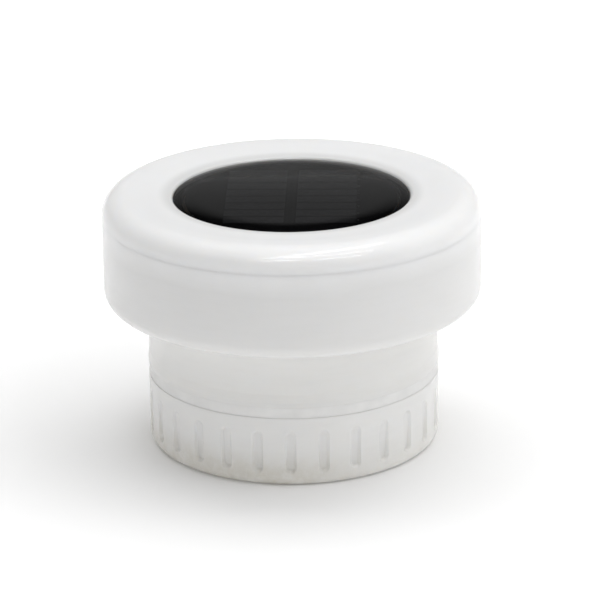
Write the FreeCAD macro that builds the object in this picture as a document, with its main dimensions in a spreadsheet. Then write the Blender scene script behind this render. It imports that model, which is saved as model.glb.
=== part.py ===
import FreeCAD, Part
import math
import os

import Sketcher
from FreeCAD import Placement, Rotation, Vector

# A floating pool light: a wide hollow float head on a narrower neck, closed below by a fluted screw cap.
# Millimetres, +Z up, origin on the axis at the bottom of the cap, which is what the light stands on.

DIMENSIONS = {
    # float head and its top cover
    "head_radius": 71.0,
    "head_top": 97.0,
    "head_bottom": 55.0,
    "head_top_round": 8.0,
    "head_bottom_round": 6.0,
    "parting_level": 88.0,
    "parting_chamfer": 0.12,
    "wall": 2.5,
    "face_break_radius": 60.0,
    "skirt_bottom": 82.0,
    "skirt_radius": 68.4,
    "skirt_wall": 3.5,
    "skirt_blend_height": 3.0,
    "seal_groove_top": 85.9,
    "seal_groove_bottom": 84.1,
    "seal_groove_depth": 1.8,
    "cover_seal_level": 85.0,
    "cover_seal_radius": 67.5,
    "cover_seal_section": 0.88,
    # window in the top cover, and the solar panel under it
    "aperture_radius": 44.3,
    "lip_level": 95.6,
    "lip_round": 1.6,
    "lip_wall": 2.2,
    "lip_thickness": 2.2,
    "window_radius": 44.1,
    "window_top": 95.9,
    "window_shoulder": 94.85,
    "window_shoulder_run": 4.1,
    "window_round": 28.0,
    "window_underside": 94.6,
    "window_bottom": 92.8,
    "gasket_thickness": 0.8,
    "window_ledge": 3.3,
    "ledge_thickness": 2.0,
    "panel_board_radius": 39.6,
    "board_thickness": 1.6,
    "cell_air_gap": 0.15,
    "cell_thickness": 0.35,
    "cell_rows": 8.0,
    "cell_length": 22.2,
    "cell_width": 7.0,
    "cell_pitch": 8.0,
    "cell_column_gap": 4.4,
    "solder_radius": 0.5,
    "solder_offset": 0.7,
    "ribbon_offset": 1.2,
    "ribbon_width": 0.9,
    "ribbon_thickness": 0.2,
    # neck, shoulder and threaded spigot
    "neck_radius": 54.7,
    "neck_clearance": 0.05,
    "neck_flange_radius": 58.2,
    "neck_flange_thickness": 2.0,
    "neck_flare_height": 5.0,
    "neck_rim_height": 2.0,
    "neck_rim_radius": 55.1,
    "edge_round": 0.4,
    "shoulder_level": 31.0,
    "spigot_radius": 50.2,
    "spigot_end": 12.0,
    "ledge_level": 36.0,
    "neck_bore_radius": 52.2,
    "tray_pilot_radius": 1.05,
    "tray_pilot_depth": 3.2,
    "tray_screw_circle": 50.2,
    "spigot_thread_start": 14.0,
    "spigot_thread_rise": 8.5,
    "cap_thread_start": 16.5,
    "cap_thread_rise": 6.5,
    "thread_pitch": 5.0,
    "thread_bite": 0.3,
    "thread_reach": 1.3,
    "thread_root_width": 2.0,
    "thread_crest_width": 1.0,
    # screw cap, its seal and its ballast
    "cap_radius": 55.0,
    "cap_height": 27.0,
    "cap_inner_radius": 52.0,
    "cap_floor_level": 4.5,
    "cap_round": 3.5,
    "foot_recess": 1.5,
    "foot_inner_radius": 36.0,
    "foot_slope_run": 1.5,
    "seal_radius": 54.8,
    "seal_inner_radius": 51.9,
    "seal_gap": 0.05,
    "flute_count": 28.0,
    "flute_half_width": 2.2,
    "flute_reach": 3.0,
    "flute_top": 19.6,
    "flute_bottom": 7.3,
    "flute_depth_top": 0.6,
    "flute_depth_bottom": 1.4,
    "ballast_inner_radius": 18.0,
    "ballast_radius": 45.0,
    "ballast_top": 8.5,
    "ballast_screw_circle": 32.0,
    "ballast_pilot_radius": 1.3,
    "ballast_hole_radius": 1.5,
    "floor_pilot_depth": 2.0,
    # push button in the middle of the cap's floor
    "button_radius": 8.0,
    "button_face": 0.7,
    "button_clearance": 0.3,
    "button_flange_radius": 10.0,
    "button_flange_top": 5.75,
    "button_stem_radius": 2.5,
    "button_stem_top": 10.2,
    "button_groove_bottom": 2.2,
    "button_groove_top": 3.4,
    "button_groove_depth": 1.1,
    "button_lift_gap": 0.05,
    "button_seal_radius": 7.5,
    "button_seal_level": 2.8,
    "button_seal_section": 0.6,
    "retainer_radius": 15.0,
    "retainer_top": 8.4,
    "retainer_roof": 1.2,
    "retainer_gap": 0.4,
    "retainer_mouth_radius": 5.5,
    "retainer_screw_circle": 12.8,
    "retainer_pilot_radius": 1.05,
    "retainer_hole_radius": 1.15,
    # tray, lamp board and power parts inside the neck
    "tray_radius": 51.9,
    "tray_bottom": 36.8,
    "tray_top": 39.3,
    "tray_hole_radius": 1.15,
    "tray_middle_radius": 4.0,
    "tray_gasket_inner": 47.9,
    "tray_gasket_outer": 49.0,
    "lamp_board_radius": 42.0,
    "lamp_board_level": 62.0,
    "board_hole_radius": 1.4,
    "standoff_circle": 36.0,
    "standoff_radius": 3.0,
    "standoff_bore_radius": 1.3,
    "standoff_bore_depth": 6.5,
    "lamp_circle": 29.0,
    "lamp_side": 5.0,
    "lamp_height": 1.5,
    "lamp_well_radius": 1.9,
    "lamp_well_depth": 0.4,
    "chip_length": 6.6,
    "chip_width": 4.6,
    "chip_height": 1.6,
    "chip_leg_width": 0.4,
    "chip_leg_length": 1.4,
    "chip_leg_height": 0.5,
    "capacitor_radius": 3.1,
    "capacitor_height": 7.0,
    "vent_length": 4.0,
    "vent_width": 0.4,
    "coil_radius": 4.0,
    "coil_height": 4.5,
    "coil_bore_radius": 1.2,
    "coil_bore_depth": 3.0,
    "resistor_length": 3.2,
    "resistor_width": 1.6,
    "resistor_height": 0.6,
    "sensor_radius": 1.5,
    "sensor_stem_height": 4.0,
    "holder_length": 62.0,
    "holder_width": 52.0,
    "holder_bottom": 21.8,
    "holder_roof": 35.3,
    "cell_pocket_length": 57.0,
    "cell_pocket_width": 15.4,
    "switch_bay_width": 16.4,
    "battery_radius": 7.1,
    "battery_length": 49.2,
    "battery_round": 0.8,
    "battery_tip_radius": 2.75,
    "battery_tip_length": 1.2,
    "battery_offset": 17.0,
    "battery_level": 28.2,
    "plate_side": 11.0,
    "plate_thickness": 0.4,
    "spring_radius": 4.6,
    "spring_wire_radius": 0.35,
    "spring_seat_gap": 0.05,
    "switch_board_length": 34.0,
    "switch_board_width": 18.0,
    "switch_side": 8.0,
    "switch_bottom": 14.2,
    "switch_top": 20.2,
    "plunger_radius": 1.9,
    "plunger_bottom": 10.5,
    "plunger_length": 7.0,
    "plunger_clearance": 0.2,
    "plunger_bore_depth": 4.9,
    "lead_radius": 0.7,
    # screws: shank and head of each kind
    "screw_slot_width": 0.5,
    "tray_screw_shank_radius": 1.0,
    "tray_screw_shank_length": 5.6,
    "tray_screw_head_radius": 1.7,
    "tray_screw_head_height": 1.4,
    "board_screw_shank_radius": 1.25,
    "board_screw_shank_length": 7.0,
    "board_screw_head_radius": 2.4,
    "board_screw_head_height": 1.6,
    "ballast_screw_shank_radius": 1.25,
    "ballast_screw_shank_length": 5.9,
    "ballast_screw_head_radius": 2.8,
    "ballast_screw_head_height": 1.8,
    "retainer_screw_shank_radius": 1.0,
    "retainer_screw_shank_length": 5.8,
    "retainer_screw_head_radius": 1.9,
    "retainer_screw_head_height": 1.2,
}

OVERCUT = 0.1          # how far a hole's tool starts above the face it sinks into
SAME_SIZE = 0.01       # mm within which an edge counts as the one asked for
TRAY_SCREWS = BOARD_SCREWS = 4
CAP_SCREWS = 3
DIAGONAL = 45.0        # degrees from +X
BALLAST_TURN = 30.0
RETAINER_TURN = 90.0
LAMPS = 12
CHIP_LEGS_PER_SIDE = 5
CHIP_LEG_PITCH = 1.27
SPRING_COILS = 4
SPRING_TAPER = -20.0   # degrees
# places on the lamp board, across and back from the axis
CHIP_PLACE = (0.0, -12.0)
CAPACITOR_PLACES = ((-12.0, -10.0), (12.0, -10.0))
COIL_PLACE = (0.0, 16.0)
RESISTOR_ROW = (-9.0, 3.0)
RESISTOR_COUNT = 4
RESISTOR_PITCH = 6.0
SENSOR_PLACE = (14.0, 8.0)
PANEL_LEAD_PLACES = (("panel_lead_positive", 4.0, 8.0), ("panel_lead_negative", -4.0, 8.0))
BATTERY_LEAD_PLACES = (("battery_lead_positive", 1.5, 0.0), ("battery_lead_negative", -1.5, 0.0))

doc = FreeCAD.newDocument("FloatingPoolLight")
sheet = doc.addObject("Spreadsheet::Sheet", "Dims")
for row, (alias, number) in enumerate(DIMENSIONS.items(), start=1):
    sheet.set(f"A{row}", alias)
    sheet.set(f"B{row}", str(number))
    sheet.setAlias(f"B{row}", alias)
doc.recompute()

nodes = []


# ---------- helpers ----------


def amount(text):
    """The size in mm of a sum of cell names and numbers, such as 'cap_radius - wall'."""
    total, sign = 0.0, 1.0
    for word in str(text).split():
        if word in ("+", "-"):
            sign = 1.0 if word == "+" else -1.0
        else:
            total += sign * (float(sheet.get(word)) if word.isidentifier() else float(word))
    return total


def formula(text):
    """The same sum as an expression that reads the sheet."""
    return " ".join(f"Dims.{word}" if word.isidentifier() else word for word in str(text).split())


def bind(thing, **sizes):
    for prop, text in sizes.items():
        setattr(thing, prop, amount(text))
        thing.setExpression(prop, formula(text))
    return thing


def node(thing, label):
    thing.Label = label
    nodes.append(thing)
    return thing


def new_body(label):
    return node(doc.addObject("PartDesign::Body", label), label)


def origin_feature(body, role):
    return next(feature for feature in body.Origin.OriginFeatures if feature.Role == role)


def new_sketch(body, name, plane="XZ_Plane"):
    sketch = body.newObject("Sketcher::SketchObject", f"{body.Name}_{name}")
    sketch.AttachmentSupport = [(origin_feature(body, plane), "")]
    sketch.MapMode = "FlatFace"
    return sketch


def outline(sketch, corners):
    """A closed outline of straight runs; each corner is a pair of sheet sums."""
    points = [Vector(amount(across), amount(up), 0) for across, up in corners]
    count = len(points)
    for index, point in enumerate(points):
        sketch.addGeometry(Part.LineSegment(point, points[(index + 1) % count]), False)
    for index in range(count):
        sketch.addConstraint(Sketcher.Constraint("Coincident", index, 2, (index + 1) % count, 1))
    for index, (across, up) in enumerate(corners):
        for kind, text in (("DistanceX", across), ("DistanceY", up)):
            place = sketch.addConstraint(Sketcher.Constraint(kind, index, 1, amount(text)))
            sketch.setExpression(f"Constraints[{place}]", formula(text))
    return sketch


def circle(sketch, radius, across="0", up="0"):
    centre = Vector(amount(across), amount(up), 0)
    index = sketch.addGeometry(Part.Circle(centre, Vector(0, 0, 1), amount(radius)), False)
    place = sketch.addConstraint(Sketcher.Constraint("Radius", index, amount(radius)))
    sketch.setExpression(f"Constraints[{place}]", formula(radius))
    for kind, text in (("DistanceX", across), ("DistanceY", up)):
        place = sketch.addConstraint(Sketcher.Constraint(kind, index, 3, amount(text)))
        sketch.setExpression(f"Constraints[{place}]", formula(text))
    return sketch


def revolve(body, corners, name="profile"):
    """A solid of revolution about Z from an outline in the XZ plane."""
    sketch = outline(new_sketch(body, name), corners)
    turned = body.newObject("PartDesign::Revolution", f"{body.Name}_{name}_turned")
    turned.Profile = sketch
    turned.ReferenceAxis = (sketch, ["V_Axis"])
    turned.Angle = 360.0
    body.Tip = turned
    doc.recompute()
    return turned


def turned_body(label, corners):
    body = new_body(label)
    revolve(body, corners)
    return body


def ring_edges(shape, rings):
    """Names of the circular edges that match any (radius, level) pair of sheet sums."""
    wanted = [(amount(radius), amount(level)) for radius, level in rings]
    names = []
    for index, edge in enumerate(shape.Edges, start=1):
        if edge.Degenerated:
            continue
        curve = edge.Curve
        if curve.TypeId == "Part::GeomCircle" and any(
            abs(curve.Radius - radius) < SAME_SIZE and abs(curve.Center.z - level) < SAME_SIZE
            for radius, level in wanted
        ):
            names.append(f"Edge{index}")
    return names


def round_rings(body, radius, *rings):
    base = body.Tip
    fillet = body.newObject("PartDesign::Fillet", f"{body.Name}_round")
    fillet.Base = (base, ring_edges(base.Shape, rings))
    bind(fillet, Radius=radius)
    body.Tip = fillet
    doc.recompute()


def helix_ridge(body, wall, tip_direction, start_level, rise):
    """A trapezoid thread ridge wound onto a wall; tip_direction is '+' outward or '-' inward."""
    inward = "-" if tip_direction == "+" else "+"
    half_root = amount("thread_root_width") / 2
    half_crest = amount("thread_crest_width") / 2
    start = amount(start_level)
    foot = f"{wall} {inward} thread_bite"
    crest = f"{wall} {tip_direction} thread_reach"
    corners = [
        (foot, f"{start - half_root}"),
        (crest, f"{start - half_crest}"),
        (crest, f"{start + half_crest}"),
        (foot, f"{start + half_root}"),
    ]
    sketch = outline(new_sketch(body, "thread"), corners)
    ridge = body.newObject("PartDesign::AdditiveHelix", f"{body.Name}_ridge")
    ridge.Profile = sketch
    ridge.ReferenceAxis = (sketch, ["V_Axis"])
    ridge.Mode = 0
    bind(ridge, Pitch="thread_pitch", Height=rise)
    ridge.LeftHanded = False
    body.Tip = ridge
    doc.recompute()


def ring_of_holes(body, radius, pitch_radius, count, top, depth, turn=0.0):
    """Blind or through holes sunk from the level 'top', evenly spaced about the axis."""
    hole = body.newObject("PartDesign::SubtractiveCylinder", f"{body.Name}_hole")
    bind(hole, Radius=radius, Height=depth)
    turned = Rotation(Vector(0, 0, 1), turn)
    start = turned.multVec(Vector(amount(pitch_radius), 0, 0))
    hole.Placement = Placement(start + Vector(0, 0, amount(top) - amount(depth)), Rotation())
    doc.recompute()
    return pattern(body, [hole], count)


def sink_through(body, radius, pitch_radius, count, bottom, top, turn):
    """Through holes from a little above 'top' to a little below 'bottom'."""
    depth = f"{amount(top) - amount(bottom) + 2 * OVERCUT}"
    return ring_of_holes(body, radius, pitch_radius, count, f"{top} + {OVERCUT}", depth, turn)


def pattern(body, originals, count):
    repeat = body.newObject("PartDesign::PolarPattern", f"{body.Name}_pattern")
    repeat.Originals = originals
    repeat.Axis = (origin_feature(body, "Z_Axis"), [""])
    repeat.Angle = 360.0
    repeat.Occurrences = count
    body.Tip = repeat
    doc.recompute()
    return repeat


def cylinder(name, radius, height, place=Vector(), turn=None):
    made = doc.addObject("Part::Cylinder", name)
    bind(made, Radius=radius, Height=height)
    made.Placement = Placement(place, turn or Rotation())
    return made


def block(name, length, width, height, place):
    """A box centred on place in X and Y, standing on place's level."""
    made = doc.addObject("Part::Box", name)
    bind(made, Length=length, Width=width, Height=height)
    corner = Vector(amount(length) / 2, amount(width) / 2, 0)
    made.Placement = Placement(place - corner, Rotation())
    return made


def fused(name, *shapes):
    made = doc.addObject("Part::MultiFuse", name)
    made.Shapes = list(shapes)
    return made


def cut(name, base, tool):
    made = doc.addObject("Part::Cut", name)
    made.Base = base
    made.Tool = tool
    return made


def group(label, members):
    made = doc.addObject("Part::Compound", label)
    made.Links = members
    return node(made, label)


def around(count, radius, level, turn=0.0):
    """Evenly spaced places on a circle about the axis."""
    for index in range(count):
        angle = math.radians(turn + 360.0 * index / count)
        yield Vector(radius * math.cos(angle), radius * math.sin(angle), level)


def screw(kind, index, place):
    """A cross-recess screw pointing down; place is the middle of the face under its head."""
    name = f"{kind}_{index}"
    shank_length, head_height = f"{kind}_shank_length", f"{kind}_head_height"
    bottom = place - Vector(0, 0, amount(shank_length))
    shank = cylinder(f"{name}_shank", f"{kind}_shank_radius", shank_length, bottom)
    head = cylinder(f"{name}_head", f"{kind}_head_radius", head_height, place)
    solid = fused(f"{name}_solid", shank, head)
    slot_base = place + Vector(0, 0, amount(head_height) * 0.45)
    slot_length = f"{amount(f'{kind}_head_radius') * 1.2}"
    slots = [
        block(f"{name}_slot_long", slot_length, "screw_slot_width", head_height, slot_base),
        block(f"{name}_slot_wide", "screw_slot_width", slot_length, head_height, slot_base),
    ]
    return cut(name, solid, fused(f"{name}_cross", *slots))


# ---------- float head ----------


def make_float_bowl():
    """Lower half of the float: rounded side wall and a floor with the neck's opening."""
    body = turned_body(
        "float_bowl",
        [
            ("head_radius - parting_chamfer", "parting_level"),
            ("head_radius", "parting_level - parting_chamfer"),
            ("head_radius", "head_bottom"),
            ("neck_radius + neck_clearance", "head_bottom"),
            ("neck_radius + neck_clearance", "head_bottom + wall"),
            ("head_radius - wall", "head_bottom + wall"),
            ("head_radius - wall", "parting_level"),
        ],
    )
    round_rings(body, "head_bottom_round", ("head_radius", "head_bottom"))
    round_rings(body, "head_bottom_round - wall", ("head_radius - wall", "head_bottom + wall"))


def make_neck_tube():
    """Neck with a flange inside the bowl, a slightly flared rim, a shoulder and a threaded spigot."""
    body = turned_body(
        "neck_tube",
        [
            ("neck_flange_radius", "head_bottom + wall + neck_flange_thickness"),
            ("neck_flange_radius", "head_bottom + wall"),
            ("neck_radius", "head_bottom + wall"),
            ("neck_radius", "shoulder_level + neck_flare_height"),
            ("neck_rim_radius", "shoulder_level + neck_rim_height"),
            ("neck_rim_radius", "shoulder_level"),
            ("spigot_radius", "shoulder_level"),
            ("spigot_radius", "spigot_end"),
            ("spigot_radius - wall", "spigot_end"),
            ("spigot_radius - wall", "ledge_level"),
            ("neck_bore_radius", "ledge_level"),
            ("neck_bore_radius", "head_bottom + wall + neck_flange_thickness"),
        ],
    )
    round_rings(body, "edge_round", ("neck_rim_radius", "shoulder_level"))
    pilot, circle_radius = "tray_pilot_radius", "tray_screw_circle"
    ring_of_holes(body, pilot, circle_radius, TRAY_SCREWS, "ledge_level", "tray_pilot_depth", DIAGONAL)
    helix_ridge(body, "spigot_radius", "+", "spigot_thread_start", "spigot_thread_rise")


def make_top_cover():
    """Annular lid of the float: rounded rim, gently dished face, window lip, ledge and sealing skirt."""
    body = turned_body(
        "top_cover",
        [
            ("head_radius - parting_chamfer", "parting_level"),
            ("head_radius", "parting_level + parting_chamfer"),
            ("head_radius", "head_top"),
            ("face_break_radius", "head_top"),
            ("aperture_radius", "lip_level"),
            ("aperture_radius", "window_bottom - gasket_thickness"),
            ("aperture_radius - window_ledge", "window_bottom - gasket_thickness"),
            ("aperture_radius - window_ledge", "window_bottom - gasket_thickness - ledge_thickness"),
            ("aperture_radius + lip_wall", "window_bottom - gasket_thickness - ledge_thickness"),
            ("aperture_radius + lip_wall", "lip_level - lip_thickness"),
            ("face_break_radius", "head_top - wall"),
            ("skirt_radius - skirt_wall", "parting_level + skirt_blend_height"),
            ("skirt_radius - skirt_wall", "skirt_bottom"),
            ("skirt_radius", "skirt_bottom"),
            ("skirt_radius", "seal_groove_bottom"),
            ("skirt_radius - seal_groove_depth", "seal_groove_bottom"),
            ("skirt_radius - seal_groove_depth", "seal_groove_top"),
            ("skirt_radius", "seal_groove_top"),
            ("skirt_radius", "parting_level"),
        ],
    )
    round_rings(body, "head_top_round", ("head_radius", "head_top"))
    round_rings(body, "lip_round", ("aperture_radius", "lip_level"))


def make_cover_seal():
    """O-ring in the skirt's groove."""
    made = doc.addObject("Part::Torus", "cover_seal")
    bind(made, Radius1="cover_seal_radius", Radius2="cover_seal_section")
    made.Placement = Placement(Vector(0, 0, amount("cover_seal_level")), Rotation())
    node(made, "cover_seal")


def make_window():
    """Dark lens with a rounded shoulder and a rim flange, and the gasket that the flange sits on."""
    lens = turned_body(
        "solar_window",
        [
            ("0", "window_underside"),
            ("aperture_radius - window_ledge", "window_underside"),
            ("aperture_radius - window_ledge", "window_bottom"),
            ("window_radius", "window_bottom"),
            ("window_radius", "window_shoulder"),
            ("window_radius - window_shoulder_run", "window_top"),
            ("0", "window_top"),
        ],
    )
    round_rings(lens, "window_round", ("window_radius - window_shoulder_run", "window_top"))
    turned_body(
        "window_gasket",
        [
            ("aperture_radius - window_ledge", "window_bottom - gasket_thickness"),
            ("window_radius", "window_bottom - gasket_thickness"),
            ("window_radius", "window_bottom"),
            ("aperture_radius - window_ledge", "window_bottom"),
        ],
    )


def make_solar_panel():
    """Round panel board with two columns of cell strips, their ribbons and their solder joints."""
    cell_bottom = amount("window_underside - cell_air_gap - cell_thickness")
    board_bottom = cell_bottom - amount("board_thickness")
    board = cylinder("solar_board", "panel_board_radius", "board_thickness", Vector(0, 0, board_bottom))
    node(board, "solar_board")
    rows = int(amount("cell_rows"))
    column = amount("cell_length + cell_column_gap") / 2
    cells, joints = [], []
    for row in range(rows):
        along = (row - (rows - 1) / 2) * amount("cell_pitch")
        for side in (-1, 1):
            name = f"cell_{row}_{'left' if side < 0 else 'right'}"
            place = Vector(side * column, along, cell_bottom)
            cells.append(block(name, "cell_length", "cell_width", "cell_thickness", place))
        edge = Vector(column + amount("cell_length") / 2 + amount("solder_offset"), along, cell_bottom)
        joints.append(cylinder(f"solder_{row}", "solder_radius", "cell_thickness", edge))
    group("solar_cells", cells)
    group("cell_solder_joints", joints)
    ribbons = []
    for side in (-1, 1):
        place = Vector(side * amount("ribbon_offset"), 0, cell_bottom)
        run = f"{rows * amount('cell_pitch')}"
        ribbons.append(block(f"ribbon_{side + 1}", "ribbon_width", run, "ribbon_thickness", place))
    group("cell_ribbons", ribbons)


# ---------- inside the neck ----------


def make_tray():
    """Bulkhead tray screwed onto the ledge inside the neck, with its gasket."""
    turned_body(
        "tray_gasket",
        [
            ("tray_gasket_inner", "ledge_level"),
            ("tray_gasket_outer", "ledge_level"),
            ("tray_gasket_outer", "tray_bottom"),
            ("tray_gasket_inner", "tray_bottom"),
        ],
    )
    tray = turned_body(
        "inner_tray",
        [
            ("tray_middle_radius", "tray_bottom"),
            ("tray_radius", "tray_bottom"),
            ("tray_radius", "tray_top"),
            ("tray_middle_radius", "tray_top"),
        ],
    )
    circle_radius = "tray_screw_circle"
    sink_through(tray, "tray_hole_radius", circle_radius, TRAY_SCREWS, "tray_bottom", "tray_top", DIAGONAL)
    places = around(TRAY_SCREWS, amount(circle_radius), amount("tray_top"), DIAGONAL)
    group("tray_screws", [screw("tray_screw", n, place) for n, place in enumerate(places)])


def make_lamp_board():
    """Lamp board on four standoffs, with its lamps and electronics."""
    board_top = amount("lamp_board_level") + amount("board_thickness")
    board = new_body("lamp_board")
    sketch = circle(new_sketch(board, "disc", "XY_Plane"), "lamp_board_radius")
    pad = board.newObject("PartDesign::Pad", "lamp_board_pad")
    pad.Profile = sketch
    bind(pad, Length="board_thickness")
    board.Tip = pad
    doc.recompute()
    hole = "board_hole_radius"
    sink_through(board, hole, "standoff_circle", BOARD_SCREWS, "0", "board_thickness", DIAGONAL)
    board.Placement = Placement(Vector(0, 0, amount("lamp_board_level")), Rotation())

    height = "lamp_board_level - tray_top"
    posts, screws = [], []
    places = around(BOARD_SCREWS, amount("standoff_circle"), amount("tray_top"), DIAGONAL)
    for index, place in enumerate(places):
        post = cylinder(f"standoff_{index}_post", "standoff_radius", height, place)
        bore_place = place + Vector(0, 0, amount(height) - amount("standoff_bore_depth"))
        bore = cylinder(f"standoff_{index}_bore", "standoff_bore_radius", "standoff_bore_depth", bore_place)
        posts.append(cut(f"standoff_{index}", post, bore))
        screws.append(screw("board_screw", index, Vector(place.x, place.y, board_top)))
    group("board_standoffs", posts)
    group("board_screws", screws)

    well_floor = amount("lamp_height") - amount("lamp_well_depth")
    lamps = []
    for index, place in enumerate(around(LAMPS, amount("lamp_circle"), board_top)):
        package = block(f"lamp_{index}_package", "lamp_side", "lamp_side", "lamp_height", place)
        well_place = place + Vector(0, 0, well_floor)
        well = cylinder(f"lamp_{index}_well", "lamp_well_radius", "lamp_well_depth", well_place)
        lamps.append(cut(f"lamp_{index}", package, well))
    group("lamp_leds", lamps)
    make_electronics(board_top)


def make_electronics(board_top):
    chip_place = Vector(*CHIP_PLACE, board_top)
    leg_reach = amount("chip_width + chip_leg_length") / 2 - amount("chip_leg_width") / 4
    legs = []
    for index in range(CHIP_LEGS_PER_SIDE):
        across = (index - (CHIP_LEGS_PER_SIDE - 1) / 2) * CHIP_LEG_PITCH
        for side in (-1, 1):
            foot = chip_place + Vector(across, side * leg_reach, 0)
            name = f"chip_leg_{index}_{side + 1}"
            legs.append(block(name, "chip_leg_width", "chip_leg_length", "chip_leg_height", foot))
    chip = block("chip_case", "chip_length", "chip_width", "chip_height", chip_place)
    node(fused("controller_chip", chip, *legs), "controller_chip")
    cans = []
    for index, (across, back) in enumerate(CAPACITOR_PLACES):
        foot = Vector(across, back, board_top)
        can = cylinder(f"capacitor_can_{index}", "capacitor_radius", "capacitor_height", foot)
        vent_place = foot + Vector(0, 0, amount("capacitor_height") - amount("vent_width") * 0.75)
        vent = block(f"capacitor_vent_{index}", "vent_length", "vent_width", "vent_width", vent_place)
        cans.append(cut(f"capacitor_{index}", can, vent))
    group("capacitors", cans)
    coil_place = Vector(*COIL_PLACE, board_top)
    coil = cylinder("coil_outer", "coil_radius", "coil_height", coil_place)
    bore_place = coil_place + Vector(0, 0, amount("coil_height + 0.1 - coil_bore_depth"))
    bore = cylinder("coil_bore", "coil_bore_radius", "coil_bore_depth", bore_place)
    node(cut("charge_coil", coil, bore), "charge_coil")
    chips = []
    for index in range(RESISTOR_COUNT):
        place = Vector(RESISTOR_ROW[0] + index * RESISTOR_PITCH, RESISTOR_ROW[1], board_top)
        name = f"resistor_{index}"
        chips.append(block(name, "resistor_length", "resistor_width", "resistor_height", place))
    group("chip_resistors", chips)
    sensor_place = Vector(*SENSOR_PLACE, board_top)
    stem = cylinder("sensor_stem", "sensor_radius", "sensor_stem_height", sensor_place)
    dome = bind(doc.addObject("Part::Sphere", "sensor_dome"), Radius="sensor_radius")
    dome.Placement = Placement(sensor_place + Vector(0, 0, amount("sensor_stem_height")), Rotation())
    node(fused("light_sensor", stem, dome), "light_sensor")


def make_leads():
    """Straight insulated leads: panel to lamp board, and battery holder to lamp board."""
    board_top = "lamp_board_level + board_thickness"
    panel_underside = "window_underside - cell_air_gap - cell_thickness - board_thickness"
    panel_run = f"{amount(panel_underside) - amount(board_top)}"
    for name, across, back in PANEL_LEAD_PLACES:
        node(cylinder(name, "lead_radius", panel_run, Vector(across, back, amount(board_top))), name)
    for name, across, back in BATTERY_LEAD_PLACES:
        place = Vector(across, back, amount("tray_bottom"))
        node(cylinder(name, "lead_radius", "lamp_board_level - tray_bottom", place), name)


def make_battery_bay():
    """Holder open from below, two rechargeable cells, and their plates and springs."""
    bottom = amount("holder_bottom")
    depth = "holder_roof - holder_bottom"
    middle = Vector(0, 0, bottom)
    case = block("holder_case", "holder_length", "holder_width", "tray_bottom - holder_bottom", middle)
    pockets = [block("holder_channel", "cell_pocket_length", "switch_bay_width", depth, middle)]
    for side in (-1, 1):
        place = Vector(0, side * amount("battery_offset"), bottom)
        name = f"holder_pocket_{side + 1}"
        pockets.append(block(name, "cell_pocket_length", "cell_pocket_width", depth, place))
    holder = cut("battery_holder", case, fused("holder_pockets", *pockets))
    node(holder, "battery_holder")

    end = amount("cell_pocket_length") / 2
    plates, springs = [], []
    for side, label in ((-1, "near"), (1, "far")):
        battery = turned_body(
            f"battery_{label}",
            [
                ("0", "0"),
                ("battery_radius", "0"),
                ("battery_radius", "battery_length"),
                ("battery_tip_radius", "battery_length"),
                ("battery_tip_radius", "battery_length + battery_tip_length"),
                ("0", "battery_length + battery_tip_length"),
            ],
        )
        round_rings(battery, "battery_round", ("battery_radius", "0"), ("battery_radius", "battery_length"))
        reach = amount("plate_thickness + battery_length + battery_tip_length")
        offset = side * amount("battery_offset")
        start = Vector(side * (end - reach), offset, amount("battery_level"))
        battery.Placement = Placement(start, Rotation(Vector(0, 0, 1), Vector(side, 0, 0)))
        for face in (-1, 1):
            across = face * (end - amount("plate_thickness") / 2)
            place = Vector(across, offset, amount("battery_level") - amount("plate_side") / 2)
            name = f"plate_{label}_{face + 1}"
            plates.append(block(name, "plate_thickness", "plate_side", "plate_side", place))
        springs.append(make_battery_spring(label, side, start))
    group("contact_plates", plates)
    group("contact_springs", springs)


def make_battery_spring(label, side, battery_start):
    """A conical wire spring from the contact plate to the flat end of a cell."""
    wire = amount("spring_wire_radius")
    radius = amount("spring_radius")
    seat_gap = amount("spring_seat_gap")
    plate_face = amount("cell_pocket_length") / 2 - amount("plate_thickness")
    length = plate_face - abs(battery_start.x) - 2 * (wire + seat_gap)
    helix = Part.makeHelix(length / SPRING_COILS, length, radius, SPRING_TAPER)
    section = Part.Wire(Part.makeCircle(wire, Vector(radius, 0, 0), Vector(0, 1, 0)).Edges)
    made = doc.addObject("Part::Feature", f"spring_{label}")
    made.Shape = Part.Wire(helix.Edges).makePipeShell([section], True, True)
    start = Vector(-side * (plate_face - wire - seat_gap), battery_start.y, battery_start.z)
    made.Placement = Placement(start, Rotation(Vector(0, 0, 1), Vector(side, 0, 0)))
    return made


def make_switch():
    """Push switch on its little board under the holder, and the plunger that the button drives."""
    board_place = Vector(0, 0, amount("switch_top"))
    board = block("switch_board", "switch_board_length", "switch_board_width", "board_thickness", board_place)
    node(board, "switch_board")
    foot = Vector(0, 0, amount("switch_bottom"))
    case = block("switch_case", "switch_side", "switch_side", "switch_top - switch_bottom", foot)
    bore = cylinder("switch_bore", "plunger_radius + plunger_clearance", "plunger_bore_depth", foot)
    node(cut("switch_housing", case, bore), "switch_housing")
    turned_body(
        "switch_plunger",
        [
            ("0", "plunger_bottom"),
            ("plunger_radius", "plunger_bottom"),
            ("plunger_radius", "plunger_bottom + plunger_length"),
            ("0", "plunger_bottom + plunger_length"),
        ],
    )


# ---------- screw cap ----------


def make_cap_seal():
    turned_body(
        "cap_seal",
        [
            ("seal_inner_radius", "cap_height + seal_gap"),
            ("seal_radius", "cap_height + seal_gap"),
            ("seal_radius", "shoulder_level - seal_gap"),
            ("seal_inner_radius", "shoulder_level - seal_gap"),
        ],
    )


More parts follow.
